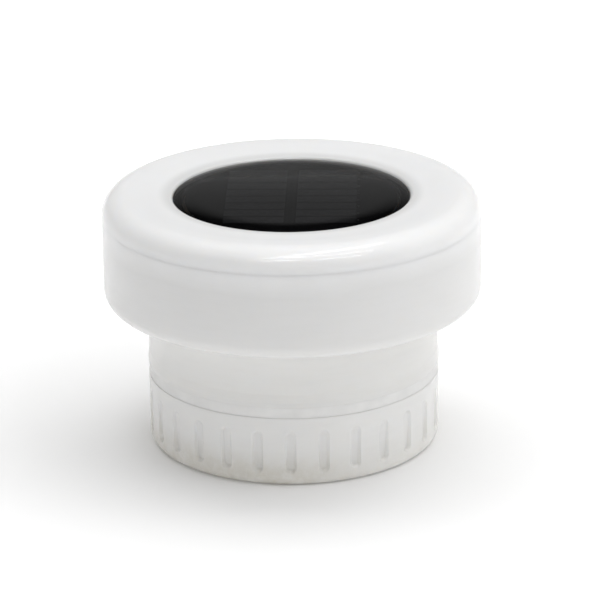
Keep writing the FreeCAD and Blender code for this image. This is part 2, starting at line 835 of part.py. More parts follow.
def make_base_cap():
    """Screw cap: standing rim, recessed floor, threaded wall and tapered finger flutes."""
    body = turned_body(
        "base_cap",
        [
            ("button_radius + button_clearance", "foot_recess"),
            ("foot_inner_radius", "foot_recess"),
            ("foot_inner_radius + foot_slope_run", "0"),
            ("cap_radius", "0"),
            ("cap_radius", "cap_height"),
            ("cap_inner_radius", "cap_height"),
            ("cap_inner_radius", "cap_floor_level"),
            ("button_radius + button_clearance", "cap_floor_level"),
        ],
    )
    round_rings(body, "cap_round", ("cap_radius", "0"))
    round_rings(body, "edge_round", ("cap_radius", "cap_height"))
    for kind, turn in (("retainer", RETAINER_TURN), ("ballast", BALLAST_TURN)):
        radius, circle_radius = f"{kind}_pilot_radius", f"{kind}_screw_circle"
        ring_of_holes(body, radius, circle_radius, CAP_SCREWS, "cap_floor_level", "floor_pilot_depth", turn)
    cut_flutes(body)
    helix_ridge(body, "cap_inner_radius", "-", "cap_thread_start", "cap_thread_rise")


def cut_flutes(body):
    """Each flute is a long round-ended recess whose floor slants inwards towards the cap's foot."""
    low = Vector(amount("cap_radius - flute_depth_bottom"), 0, amount("flute_bottom"))
    high = Vector(amount("cap_radius - flute_depth_top"), 0, amount("flute_top"))
    slant = Rotation(Vector(0, 0, 1), high - low)
    outwards = slant.multiply(Rotation(Vector(0, 0, 1), Vector(1, 0, 0)))
    slot = body.newObject("PartDesign::SubtractiveBox", "flute_slot")
    bind(slot, Length="flute_reach", Width="flute_half_width + flute_half_width")
    slot.Height = (high - low).Length
    slot.Placement = Placement(low - Vector(0, amount("flute_half_width"), 0), slant)
    tools = [slot]
    for name, place in (("foot", low), ("head", high)):
        end = body.newObject("PartDesign::SubtractiveCylinder", f"flute_{name}")
        bind(end, Radius="flute_half_width", Height="flute_reach")
        end.Placement = Placement(place, outwards)
        tools.append(end)
    doc.recompute()
    repeat = pattern(body, tools, int(amount("flute_count")))
    repeat.setExpression("Occurrences", "Dims.flute_count")


def make_ballast():
    """Steel ballast ring screwed to the cap's floor."""
    body = turned_body(
        "ballast_ring",
        [
            ("ballast_inner_radius", "cap_floor_level"),
            ("ballast_radius", "cap_floor_level"),
            ("ballast_radius", "ballast_top"),
            ("ballast_inner_radius", "ballast_top"),
        ],
    )
    circle_radius = "ballast_screw_circle"
    hole = "ballast_hole_radius"
    sink_through(body, hole, circle_radius, CAP_SCREWS, "cap_floor_level", "ballast_top", BALLAST_TURN)
    places = around(CAP_SCREWS, amount(circle_radius), amount("ballast_top"), BALLAST_TURN)
    group("ballast_screws", [screw("ballast_screw", n, place) for n, place in enumerate(places)])


def make_button():
    """Push button with its O-ring, held behind the cap's floor by a screwed retainer."""
    turned_body(
        "power_button",
        [
            ("0", "button_face"),
            ("button_radius", "button_face"),
            ("button_radius", "button_groove_bottom"),
            ("button_radius - button_groove_depth", "button_groove_bottom"),
            ("button_radius - button_groove_depth", "button_groove_top"),
            ("button_radius", "button_groove_top"),
            ("button_radius", "cap_floor_level + button_lift_gap"),
            ("button_flange_radius", "cap_floor_level + button_lift_gap"),
            ("button_flange_radius", "button_flange_top"),
            ("button_stem_radius", "button_flange_top"),
            ("button_stem_radius", "button_stem_top"),
            ("0", "button_stem_top"),
        ],
    )
    ring = doc.addObject("Part::Torus", "button_seal")
    bind(ring, Radius1="button_seal_radius", Radius2="button_seal_section")
    ring.Placement = Placement(Vector(0, 0, amount("button_seal_level")), Rotation())
    node(ring, "button_seal")
    retainer = turned_body(
        "button_retainer",
        [
            ("button_flange_radius + retainer_gap", "cap_floor_level"),
            ("retainer_radius", "cap_floor_level"),
            ("retainer_radius", "retainer_top"),
            ("retainer_mouth_radius", "retainer_top"),
            ("retainer_mouth_radius", "retainer_top - retainer_roof"),
            ("button_flange_radius + retainer_gap", "retainer_top - retainer_roof"),
        ],
    )
    circle_radius = "retainer_screw_circle"
    hole = "retainer_hole_radius"
    sink_through(retainer, hole, circle_radius, CAP_SCREWS, "cap_floor_level", "retainer_top", RETAINER_TURN)
    places = around(CAP_SCREWS, amount(circle_radius), amount("retainer_top"), RETAINER_TURN)
    group("retainer_screws", [screw("retainer_screw", n, place) for n, place in enumerate(places)])


def check_document():
    doc.recompute()
    for thing in doc.Objects:
        if "Invalid" in thing.State or "Error" in thing.State:
            raise RuntimeError(f"{thing.Name} did not build: {thing.State}")
    for part in nodes:
        if part.Shape.isNull() or not part.Shape.isValid():
            raise RuntimeError(f"{part.Label} has no valid shape")
        volume = part.Shape.Volume / 1000
        print(f"{part.Label:26s} solids {len(part.Shape.Solids):3d}  volume {volume:9.3f} cm3")


def write_parts():
    os.makedirs("parts", exist_ok=True)
    for part in nodes:
        part.Shape.exportStep(f"parts/{part.Label}.step")


make_float_bowl()
make_neck_tube()
make_top_cover()
make_cover_seal()
make_window()
make_solar_panel()
make_tray()
make_lamp_board()
make_leads()
make_battery_bay()
make_switch()
make_cap_seal()
make_base_cap()
make_ballast()
make_button()
check_document()
write_parts()
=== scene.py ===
import math

import bpy
import numpy as np
from mathutils import Matrix, Vector


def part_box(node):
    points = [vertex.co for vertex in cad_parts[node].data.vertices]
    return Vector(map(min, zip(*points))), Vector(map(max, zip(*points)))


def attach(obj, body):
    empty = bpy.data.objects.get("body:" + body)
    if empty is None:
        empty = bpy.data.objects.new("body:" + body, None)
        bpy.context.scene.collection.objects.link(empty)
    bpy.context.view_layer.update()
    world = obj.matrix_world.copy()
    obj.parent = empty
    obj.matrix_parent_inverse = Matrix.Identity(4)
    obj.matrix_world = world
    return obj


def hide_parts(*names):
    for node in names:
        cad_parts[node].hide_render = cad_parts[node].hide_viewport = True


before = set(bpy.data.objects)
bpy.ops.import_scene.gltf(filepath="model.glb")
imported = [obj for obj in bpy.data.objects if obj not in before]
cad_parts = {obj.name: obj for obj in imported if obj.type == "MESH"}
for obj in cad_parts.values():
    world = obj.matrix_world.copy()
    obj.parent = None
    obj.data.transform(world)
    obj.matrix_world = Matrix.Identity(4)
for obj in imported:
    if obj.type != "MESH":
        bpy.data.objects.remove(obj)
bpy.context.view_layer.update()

MM = 0.001
TAU = 2 * math.pi


# ---------- sizes, read from the frame ----------

def node_radius(node):
    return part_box(node)[1].x


def node_span(node):
    low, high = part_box(node)
    return low.z, high.z


HEAD_RADIUS = node_radius("top_cover")
HEAD_TOP = node_span("top_cover")[1]
SKIRT_BOTTOM = node_span("top_cover")[0]
PARTING = node_span("float_bowl")[1]
SPIGOT_END = node_span("neck_tube")[0]
CAP_RADIUS = node_radius("base_cap")
CAP_TOP = node_span("base_cap")[1]
SEAL_RADIUS = node_radius("cap_seal")
SEAL_TOP = node_span("cap_seal")[1]
WINDOW_RADIUS = node_radius("solar_window")
WINDOW_BOTTOM, WINDOW_TOP = node_span("solar_window")
FLUTES = 28
THREAD_PITCH = 5.0 * MM
THREAD_REACH = 1.3 * MM
CELL_PITCH = 8.0 * MM
FINGER_PITCH = 1.6 * MM

# Radii and levels in mm that the frame's boxes don't give.
BOWL_FLOOR = 55.0
SPIGOT_RADIUS = 50.2
SPIGOT_BORE = 47.7
CAP_BORE = 52.0
LIP_LEVEL = 95.6
LIP_ROUND = 1.6

# Fineness of the meshes.
ROUND = 320
SEGMENTS_PER_FLUTE = 40
ARC_STEPS = 12
LONGEST_RUN = 2.5
SMOOTH_BELOW = math.radians(38)


# ---------- mesh helpers ----------

def fillet(points, steps=ARC_STEPS):
    """Turns (radius, level, rounding) corners in mm into a closed outline in metres, rounding each corner."""
    outline = []
    count = len(points)
    for index, (across, up, rounding) in enumerate(points):
        here = np.array((across, up))
        before = np.array(points[index - 1][:2]) - here
        after = np.array(points[(index + 1) % count][:2]) - here
        if rounding <= 0:
            outline.append(here * MM)
            continue
        before /= np.linalg.norm(before)
        after /= np.linalg.norm(after)
        half = math.acos(max(-1.0, min(1.0, float(before @ after)))) / 2
        bisector = (before + after) / np.linalg.norm(before + after)
        centre = here + bisector * rounding / math.sin(half)
        start = here + before * rounding / math.tan(half) - centre
        end = here + after * rounding / math.tan(half) - centre
        turn = math.atan2(start[0] * end[1] - start[1] * end[0], float(start @ end))
        for step in range(steps + 1):
            a = turn * step / steps
            c, s = math.cos(a), math.sin(a)
            spun = np.array((start[0] * c - start[1] * s, start[0] * s + start[1] * c))
            outline.append((centre + spun) * MM)
    return np.array(outline)


def subdivide(outline, longest):
    """Adds points so that no run of the outline is longer than the given number of mm."""
    dense = []
    for index, point in enumerate(outline):
        following = outline[(index + 1) % len(outline)]
        pieces = max(1, math.ceil(np.linalg.norm(following - point) / (longest * MM)))
        for piece in range(pieces):
            dense.append(point + (following - point) * piece / pieces)
    return np.array(dense)


def add_mesh(name, verts, faces, body, material):
    mesh = bpy.data.meshes.new(name)
    mesh.from_pydata([tuple(v) for v in verts], [], faces)
    mesh.validate()
    mesh.polygons.foreach_set("use_smooth", [True] * len(mesh.polygons))
    mesh.set_sharp_from_angle(angle=SMOOTH_BELOW)
    piece = bpy.data.objects.new(name, mesh)
    bpy.context.scene.collection.objects.link(piece)
    mesh.materials.append(material)
    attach(piece, body)
    return piece


def lathe(name, outline, segments, body, material, carve=None):
    """Turns a closed outline about Z. carve(radius, level, angles) may return other radii for one ring."""
    angles = np.arange(segments) * TAU / segments
    rings = []
    for radius, level in outline:
        radii = np.full(segments, radius) if carve is None else carve(radius, level, angles)
        levels = np.full(segments, level)
        rings.append(np.column_stack((radii * np.cos(angles), radii * np.sin(angles), levels)))
    verts = np.concatenate(rings)
    count = len(outline)
    faces = []
    for ring in range(count):
        here, above = ring * segments, ((ring + 1) % count) * segments
        for k in range(segments):
            after = (k + 1) % segments
            faces.append((here + k, here + after, above + after, above + k))
    return add_mesh(name, verts, faces, body, material)


def dome(name, outline, segments, body, material):
    """Turns an open outline that starts and ends on the axis."""
    angles = np.arange(segments) * TAU / segments
    verts = [(0.0, 0.0, outline[0][1])]
    for radius, level in outline[1:-1]:
        verts += [(radius * math.cos(a), radius * math.sin(a), level) for a in angles]
    verts.append((0.0, 0.0, outline[-1][1]))
    faces = []
    rings = len(outline) - 2
    for k in range(segments):
        after = (k + 1) % segments
        faces.append((0, 1 + after, 1 + k))
        for ring in range(rings - 1):
            here, above = 1 + ring * segments, 1 + (ring + 1) * segments
            faces.append((here + k, here + after, above + after, above + k))
        last = 1 + (rings - 1) * segments
        faces.append((last + k, last + after, len(verts) - 1))
    return add_mesh(name, verts, faces, body, material)


def thread_ridge(name, wall, reach, start, rise, body, material):
    """A trapezoid ridge wound right-handed on a wall, fading out at both ends. On an inner wall reach is
    negative."""
    per_turn = 120
    count = int(rise / THREAD_PITCH * per_turn)
    fade = per_turn // 8
    verts = []
    for step in range(count + 1):
        a = TAU * step / per_turn
        level = start + THREAD_PITCH * step / per_turn
        height = max(0.02, min(1.0, step / fade, (count - step) / fade))
        crest = wall + reach * height
        foot = wall - math.copysign(0.3 * MM, reach)
        section = ((foot, -1.0), (wall, -0.9), (crest, -0.5), (crest, 0.5), (wall, 0.9), (foot, 1.0))
        for radius, offset in section:
            verts.append((radius * math.cos(a), radius * math.sin(a), level + offset * MM))
    faces = []
    sides = 6
    for step in range(count):
        here, ahead = step * sides, (step + 1) * sides
        for k in range(sides):
            after = (k + 1) % sides
            faces.append((here + k, here + after, ahead + after, ahead + k))
    faces.append(tuple(range(sides - 1, -1, -1)))
    faces.append(tuple(count * sides + k for k in range(sides)))
    return add_mesh(name, verts, faces, body, material)


# ---------- materials ----------

def add_node(tree, kind, inputs=(), **settings):
    """Makes a node, and links or sets its inputs."""
    made = tree.nodes.new(kind)
    for key, value in settings.items():
        setattr(made, key, value)
    for key, value in dict(inputs).items():
        if isinstance(value, bpy.types.NodeSocket):
            tree.links.new(value, made.inputs[key])
        else:
            made.inputs[key].default_value = value
    return made


class Nodes:
    """A short way to wire a material's nodes."""

    def __init__(self, name):
        self.material = bpy.data.materials.new(name)
        self.material.use_nodes = True
        self.tree = self.material.node_tree
        self.shader = self.tree.nodes["Principled BSDF"]
        self.place = self.add("ShaderNodeTexCoord").outputs["Object"]

    def add(self, kind, inputs=(), **settings):
        return add_node(self.tree, kind, inputs, **settings)

    def noise(self, scale, detail=3.0, roughness=0.5, place=None):
        inputs = {
            "Vector": place or self.place,
            "Scale": scale,
            "Detail": detail,
            "Roughness": roughness,
        }
        return self.add("ShaderNodeTexNoise", inputs).outputs["Fac"]

    def ramp(self, factor, stops):
        made = self.add("ShaderNodeValToRGB", {"Fac": factor})
        elements = made.color_ramp.elements
        while len(elements) < len(stops):
            elements.new(0.5)
        for element, (position, colour) in zip(elements, stops):
            element.position = position
            element.color = (*colour, 1.0)
        return made.outputs["Color"]

    def remap(self, value, low, high, to_low, to_high, curve="LINEAR"):
        inputs = {"Value": value, "From Min": low, "From Max": high, "To Min": to_low, "To Max": to_high}
        return self.add("ShaderNodeMapRange", inputs, interpolation_type=curve).outputs["Result"]

    def math(self, operation, first, second=0.0):
        return self.add("ShaderNodeMath", {0: first, 1: second}, operation=operation).outputs[0]

    def mix(self, factor, first, second, blend="MIX"):
        made = self.add("ShaderNodeMix", data_type="RGBA", blend_type=blend)
        for index, value in ((0, factor), (6, first), (7, second)):
            if isinstance(value, bpy.types.NodeSocket):
                self.tree.links.new(value, made.inputs[index])
            else:
                made.inputs[index].default_value = (*value, 1.0) if isinstance(value, tuple) else value
        return made.outputs[2]

    def axis(self, letter):
        return self.add("ShaderNodeSeparateXYZ", {"Vector": self.place}).outputs[letter]

    def from_middle(self, value, pitch):
        """How far value is from the middle of its pitch, as a share of the pitch."""
        share = self.math("FRACT", self.math("DIVIDE", value, pitch))
        return self.math("ABSOLUTE", self.math("SUBTRACT", share, 0.5))

    def radius(self):
        """Distance from the Z axis."""
        flat = self.add("ShaderNodeVectorMath", {0: self.place, 1: (1.0, 1.0, 0.0)}, operation="MULTIPLY")
        return self.add("ShaderNodeVectorMath", {0: flat.outputs[0]}, operation="LENGTH").outputs["Value"]

    def stretched(self, x, y, z):
        return self.add("ShaderNodeMapping", {"Vector": self.place, "Scale": (x, y, z)}).outputs["Vector"]

    def link(self, output, name):
        self.tree.links.new(output, self.shader.inputs[name])

    def bump(self, height, strength, distance):
        inputs = {"Height": height, "Strength": strength, "Distance": distance}
        self.link(self.add("ShaderNodeBump", inputs).outputs["Normal"], "Normal")

    def set(self, **values):
        for name, value in values.items():
            self.shader.inputs[name.replace("_", " ")].default_value = value


def milky_plastic(name, tones_with_height_shade, span, roughness, shade_radii=None, low_left_shade=0.0):
    """Translucent white plastic: tone follows height, with faint flow marks, fine grain and scuffs. The tone
    ramp is (share of the span, colour) pairs: the plastic's colour with painted shade and light by height.
    Between the two shade_radii it darkens inwards as painted shade, where a dark part behind it takes the
    light. The last argument sets the strength of a warm, mottled painted shade low down on the wall, mostly
    on the left side."""
    m = Nodes(name)
    height = m.remap(m.axis("Z"), span[0], span[1], 0.0, 1.0)
    drift = m.math("ADD", height, m.remap(m.noise(22.0, 3.0), 0.3, 0.7, -0.02, 0.02))
    # The ramp by height holds the plastic's own colour with painted shade and light: darker walls, brighter
    # tops.
    tone = m.ramp(drift, tones_with_height_shade)
    flow = m.noise(1.0, 4.0, 0.55, m.stretched(60.0, 60.0, 420.0))
    tone = m.mix(m.remap(flow, 0.45, 0.75, 0.0, 0.10), tone, (0.86, 0.86, 0.84), "MULTIPLY")
    specks = m.add("ShaderNodeTexVoronoi", {"Vector": m.place, "Scale": 260.0}).outputs["Distance"]
    tone = m.mix(m.remap(specks, 0.0, 0.06, 0.12, 0.0), tone, (0.55, 0.53, 0.50), "MULTIPLY")
    if shade_radii:
        # Painted shade: a darker ring on the top of the head around the dark window.
        near = m.remap(m.radius(), *shade_radii, 1.0, 0.0, "SMOOTHERSTEP")
        high = m.remap(m.axis("Z"), HEAD_TOP - 4 * MM, HEAD_TOP - 3 * MM, 0.0, 1.0)
        share = m.math("MULTIPLY", near, high)
        tone = m.mix(share, tone, (0.81, 0.81, 0.805), "MULTIPLY")
    if low_left_shade:
        # Painted shade: warm, mottled darkening low on the cap wall, stronger on the left side.
        patches = m.remap(m.noise(110.0, 6.0, 0.7), 0.36, 0.62, 0.2, 1.0)
        low_down = m.remap(m.axis("Z"), 0.0, 14 * MM, low_left_shade, 0.0)
        on_wall = m.remap(m.radius(), 50 * MM, 54.5 * MM, 0.2, 1.0)
        one_side = m.remap(m.axis("X"), 0.0, 25 * MM, 1.0, 0.15)
        share = m.math("MULTIPLY", patches, low_down)
        share = m.math("MULTIPLY", share, m.math("MULTIPLY", on_wall, one_side))
        tone = m.mix(share, tone, (0.80, 0.775, 0.71), "MULTIPLY")
    m.link(tone, "Base Color")
    scuffs = m.noise(1.0, 5.0, 0.6, m.stretched(900.0, 120.0, 260.0))
    wear = m.math("ADD", m.noise(45.0, 4.0), m.math("MULTIPLY", scuffs, 0.6))
    m.link(m.remap(wear, 0.5, 1.1, roughness - 0.05, roughness + 0.07), "Roughness")
    grain = m.math("ADD", m.noise(1500.0, 2.0), m.math("MULTIPLY", m.noise(160.0, 2.0), 1.5))
    m.bump(grain, 0.10, 0.00003)
    m.set(Subsurface_Weight=0.35, Subsurface_Scale=0.004, IOR=1.49)
    m.set(Coat_Weight=0.5, Coat_Roughness=0.06, Specular_IOR_Level=0.15)
    m.shader.inputs["Subsurface Radius"].default_value = (1.0, 0.92, 0.82)
    return m.material


def silicone(name, colour):
    m = Nodes(name)
    tone = m.mix(m.remap(m.noise(120.0), 0.3, 0.7, 0.0, 1.0), tuple(c * 0.93 for c in colour), colour)
    m.link(tone, "Base Color")
    m.link(m.remap(m.noise(400.0), 0.3, 0.7, 0.42, 0.58), "Roughness")
    m.bump(m.noise(1800.0, 2.0), 0.15, 0.00003)
    m.set(Subsurface_Weight=0.3, Subsurface_Scale=0.002)
    m.shader.inputs["Subsurface Radius"].default_value = (1.0, 0.95, 0.9)
    return m.material


def tinted_lens():
    """Smoked polycarbonate: mostly clear to the cells, with faint wipe marks and dust in its gloss."""
    m = Nodes("tinted_lens")
    cloud = m.remap(m.noise(60.0), 0.3, 0.7, 0.0, 1.0)
    tone = m.mix(cloud, (0.0012, 0.0013, 0.0015), (0.0025, 0.0025, 0.0028))
    m.link(tone, "Base Color")
    wipe = m.noise(1.0, 5.0, 0.6, m.stretched(40.0, 260.0, 40.0))
    m.link(m.remap(wipe, 0.35, 0.75, 0.035, 0.09), "Roughness")
    m.set(Alpha=0.6, IOR=1.5)
    return m.material


def silicon_cells():
    """Grey silicon strips, darker along their edges, with printed fingers across them and cloudiness."""
    m = Nodes("silicon_cells")
    cloud = m.noise(1.0, 3.0, 0.5, m.stretched(90.0, 240.0, 90.0))
    silicon = m.ramp(cloud, ((0.3, (0.16, 0.165, 0.18)), (0.7, (0.23, 0.235, 0.255))))
    finger = m.from_middle(m.axis("X"), FINGER_PITCH)
    tone = m.mix(m.remap(finger, 0.0, 0.05, 0.35, 0.0), silicon, (0.5, 0.5, 0.52))
    from_row = m.from_middle(m.axis("Y"), CELL_PITCH)
    edge = m.remap(from_row, 0.38, 0.44, 0.0, 0.75, "SMOOTHSTEP")
    m.link(m.mix(edge, tone, (0.03, 0.03, 0.032)), "Base Color")
    m.link(m.remap(cloud, 0.3, 0.7, 0.3, 0.42), "Roughness")
    return m.material


def speckled(name, colour, roughness, metallic=0.0, contrast=0.18):
    """A plain moulded, coated or plated surface with fine grain, patchy tone and worn edges."""
    m = Nodes(name)
    dark = tuple(c * (1 - contrast) for c in colour)
    light = tuple(min(1.0, c * (1 + contrast)) for c in colour)
    tone = m.ramp(m.noise(300.0, 4.0), ((0.3, dark), (0.7, light)))
    worn = m.remap(m.add("ShaderNodeNewGeometry").outputs["Pointiness"], 0.52, 0.62, 0.0, 0.5)
    m.link(m.mix(worn, tone, tuple(min(1.0, c * 1.4 + 0.03) for c in colour)), "Base Color")
    m.link(m.remap(m.noise(660.0, 3.0), 0.3, 0.7, roughness - 0.06, roughness + 0.08), "Roughness")
    m.bump(m.noise(1200.0, 2.0), 0.1, 0.00005)
    m.set(Metallic=metallic)
    return m.material


def turned_metal(name, colour, roughness):
    """Machined or rolled metal: fine rings from the tool, patchy brightness."""
    m = Nodes(name)
    rings = m.noise(1.0, 3.0, 0.6, m.stretched(60.0, 60.0, 5000.0))
    dark = tuple(c * 0.8 for c in colour)
    m.link(m.mix(m.remap(m.noise(150.0), 0.3, 0.7, 0.0, 1.0), dark, colour), "Base Color")
    m.link(m.remap(rings, 0.3, 0.7, roughness - 0.07, roughness + 0.1), "Roughness")
    m.bump(rings, 0.15, 0.00002)
    m.set(Metallic=1.0)
    return m.material


def circuit_board():
    """Green solder mask over copper tracks that show as slightly lighter lines."""
    m = Nodes("circuit_board")
    place = m.stretched(240.0, 240.0, 0.0)
    cells = m.add("ShaderNodeTexVoronoi", {"Vector": place}, distance="CHEBYCHEV", feature="F1")
    bands = m.math("FRACT", m.math("MULTIPLY", cells.outputs["Distance"], 6.0))
    tracks = m.remap(bands, 0.4, 0.6, 0.0, 1.0)
    m.link(m.mix(tracks, (0.015, 0.10, 0.04), (0.03, 0.17, 0.07)), "Base Color")
    m.link(m.remap(m.noise(500.0), 0.3, 0.7, 0.28, 0.42), "Roughness")
    m.bump(tracks, 0.2, 0.00004)
    return m.material


def battery_sleeve():
    """Shrink-wrapped cell: a plain green sleeve, pale towards both ends."""
    m = Nodes("battery_sleeve")
    across = m.math("ABSOLUTE", m.axis("X"))
    band = m.math("GREATER_THAN", across, 18.5 * MM)
    cloud = m.remap(m.noise(80.0), 0.3, 0.7, 0.0, 1.0)
    sleeve = m.mix(cloud, (0.02, 0.20, 0.09), (0.03, 0.26, 0.12))
    m.link(m.mix(band, sleeve, (0.80, 0.81, 0.80)), "Base Color")
    m.link(m.remap(m.noise(300.0), 0.3, 0.7, 0.22, 0.36), "Roughness")
    m.bump(m.noise(900.0), 0.1, 0.00003)
    return m.material


# ---------- pieces ----------

def in_mm(*lengths):
    return [length / MM for length in lengths]


def make_float(material):
    """Top cover and bowl of the float, meeting in a fine V groove."""
    head, top, parting, skirt_end = in_mm(HEAD_RADIUS, HEAD_TOP, PARTING, SKIRT_BOTTOM)
    aperture = WINDOW_RADIUS / MM + 0.2
    ledge = aperture - 3.3
    skirt = head - 2.6
    seat = node_span("window_gasket")[0] / MM
    cover = fillet([
        (head - 0.03, parting, 0),
        (head, parting + 0.08, 0.05),
        (head, top, 8.0),
        (head - 11.0, top, 60.0),
        (aperture, LIP_LEVEL, LIP_ROUND),
        (aperture, seat, 0.2),
        (ledge, seat, 0.2),
        (ledge, seat - 2.0, 0.2),
        (aperture + 2.2, seat - 2.0, 0.3),
        (aperture + 2.2, LIP_LEVEL - 2.2, 0.8),
        (head - 11.0, top - 2.5, 3.0),
        (skirt - 3.5, parting + 3, 1.0),
        (skirt - 3.5, skirt_end, 0.3),
        (skirt, skirt_end, 0.3),
        (skirt, parting - 3.9, 0.2),
        (skirt - 1.8, parting - 3.9, 0),
        (skirt - 1.8, parting - 2.1, 0),
        (skirt, parting - 2.1, 0.2),
        (skirt, parting, 0),
    ])
    piece = lathe("float_cover", subdivide(cover, LONGEST_RUN), ROUND, "light", material)
    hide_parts("top_cover")

    bowl = fillet([
        (head - 0.03, parting, 0),
        (head, parting - 0.08, 0.05),
        (head, BOWL_FLOOR, 6.0),
        (54.75, BOWL_FLOOR, 0.2),
        (54.75, BOWL_FLOOR + 2.5, 0.2),
        (head - 2.5, BOWL_FLOOR + 2.5, 3.5),
        (head - 2.5, parting, 0),
    ])
    piece = lathe("float_lower", subdivide(bowl, LONGEST_RUN), ROUND, "light", material)
    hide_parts("float_bowl")

    shoulder = SEAL_TOP / MM + 0.02
    spigot_end = SPIGOT_END / MM
    neck = fillet([
        (58.2, BOWL_FLOOR + 4.5, 0.3),
        (58.2, BOWL_FLOOR + 2.5, 0),
        (54.7, BOWL_FLOOR + 2.5, 0),
        (54.7, shoulder + 5, 4.0),
        (55.1, shoulder + 2, 4.0),
        (55.1, shoulder, 0.15),
        (SPIGOT_RADIUS, shoulder, 0.3),
        (SPIGOT_RADIUS, spigot_end, 0.5),
        (SPIGOT_BORE, spigot_end, 0.5),
        (SPIGOT_BORE, 36.0, 0.2),
        (52.2, 36.0, 0.3),
        (52.2, BOWL_FLOOR + 4.5, 0.3),
    ])
    piece = lathe("neck_and_spigot", subdivide(neck, LONGEST_RUN), ROUND, "light", material)
    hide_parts("neck_tube")
    start, rise = 14.0 * MM, 8.5 * MM
    wall = SPIGOT_RADIUS * MM
    thread_ridge("spigot_thread", wall, THREAD_REACH, start, rise, "light", material)


def flute_depth(level, angles):
    """Depth of the round-ended flutes at one level: steep sides, and deeper towards the bottom."""
    half_width, low, high, edge = 2.2 * MM, 7.3 * MM, 19.6 * MM, 0.9 * MM
    along = min(high, max(low, level))
    floor = 1.4 * MM - 0.8 * MM * (along - low) / (high - low)
    pitch = TAU / FLUTES
    across = CAP_RADIUS * ((angles + pitch / 2) % pitch - pitch / 2)
    inside = np.clip((half_width - np.hypot(across, level - along)) / edge, 0.0, 1.0)
    return floor * inside**2 * (3 - 2 * inside)


def carved_wall(radius, level, angles):
    """The cap's wall with its flutes; other rings stay round."""
    on_wall = radius > CAP_RADIUS - 0.1 * MM
    return radius - flute_depth(level, angles) if on_wall else np.full(len(angles), radius)


def make_screw_cap(material):
    rim, top = in_mm(CAP_RADIUS, CAP_TOP)
    outline = fillet([
        (8.3, 1.5, 0.3),
        (36.0, 1.5, 0.4),
        (37.5, 0.0, 0.4),
        (rim, 0.0, 3.5),
        (rim, top, 0.3),
        (CAP_BORE, top, 0.5),
        (CAP_BORE, 4.5, 0.8),
        (8.3, 4.5, 0.2),
    ])
    dense = []
    for index, point in enumerate(outline):
        following = outline[(index + 1) % len(outline)]
        run = np.linalg.norm(following - point) / MM
        longest = 0.4 if point[0] > (rim - 0.1) * MM else 3.0
        pieces = max(1, math.ceil(run / longest))
        dense += [point + (following - point) * piece / pieces for piece in range(pieces)]
    segments = FLUTES * SEGMENTS_PER_FLUTE
    piece = lathe("screw_cap", np.array(dense), segments, "cap", material, carved_wall)
    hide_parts("base_cap")
    start, rise = 16.5 * MM, 6.5 * MM
    thread_ridge("cap_thread", CAP_BORE * MM, -THREAD_REACH, start, rise, "cap", material)


def make_seal(material):
    outer, low, high = in_mm(SEAL_RADIUS, CAP_TOP, SEAL_TOP)
    outline = fillet([(51.9, low, 0.1), (outer, low, 0), (outer, high, 0.1), (51.9, high, 0.1)], 8)
    piece = lathe("reveal_seal", outline, ROUND, "seal_ring", material)
    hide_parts("cap_seal")


def make_window(material):
    """The lens: a nearly flat top, a gently rounded shoulder and a rim flange around the panel."""
    rim, low, high = in_mm(WINDOW_RADIUS, WINDOW_BOTTOM, WINDOW_TOP)
    flat, crown, rim_slope, steps = 34.0, 0.25, math.radians(12), 44
    underside = node_span("solar_cells")[1] / MM + 0.15
    profile, level = [(0.0, high)], high
    for step in range(1, steps + 1):
        across = rim * step / steps
        beyond = max(0.0, (across - flat) / (rim - flat))
        slope = 2 * crown * across / rim**2 + rim_slope * beyond**1.7
        level -= math.tan(slope) * rim / steps
        profile.append((across, level))
    outline = [(0.0, underside), (rim - 3.5, underside), (rim - 3.1, underside - 0.2), (rim - 3.1, low + 0.2)]
    outline += [(rim - 2.9, low), (rim - 0.2, low), (rim, low + 0.2)] + profile[::-1]
    piece = dome("window_lens", np.array(outline) * MM, ROUND, "light", material)
    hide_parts("solar_window")


# ---------- finishes of the pieces that keep their own shape ----------

